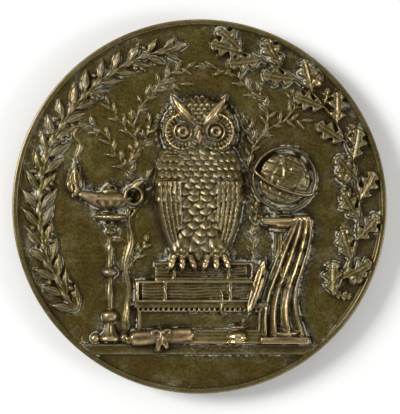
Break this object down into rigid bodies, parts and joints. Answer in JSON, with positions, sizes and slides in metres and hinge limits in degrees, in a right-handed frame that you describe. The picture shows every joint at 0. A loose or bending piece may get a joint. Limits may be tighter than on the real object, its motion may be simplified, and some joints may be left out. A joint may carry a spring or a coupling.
{
  "type": "prize medallion",
  "caption": "Round cast bronze prize medal with a raised rim, a relief of an owl on books between a lamp and a column under laurel and oak, and a plain back.",
  "frame": {"origin": "middle of the back, on the plane of the back rim that the medal lies on", "axes": "+Z out of the face, +Y towards the top of the design, +X to its right"},
  "size_m": [0.068, 0.068, 0.0071],
  "materials": {
    "bronze": "dark olive brown patina, satin, rubbed bright on the high points"
  },
  "bodies": {
    "root": {"medallion": "bronze"}
  },
  "joints": []
}
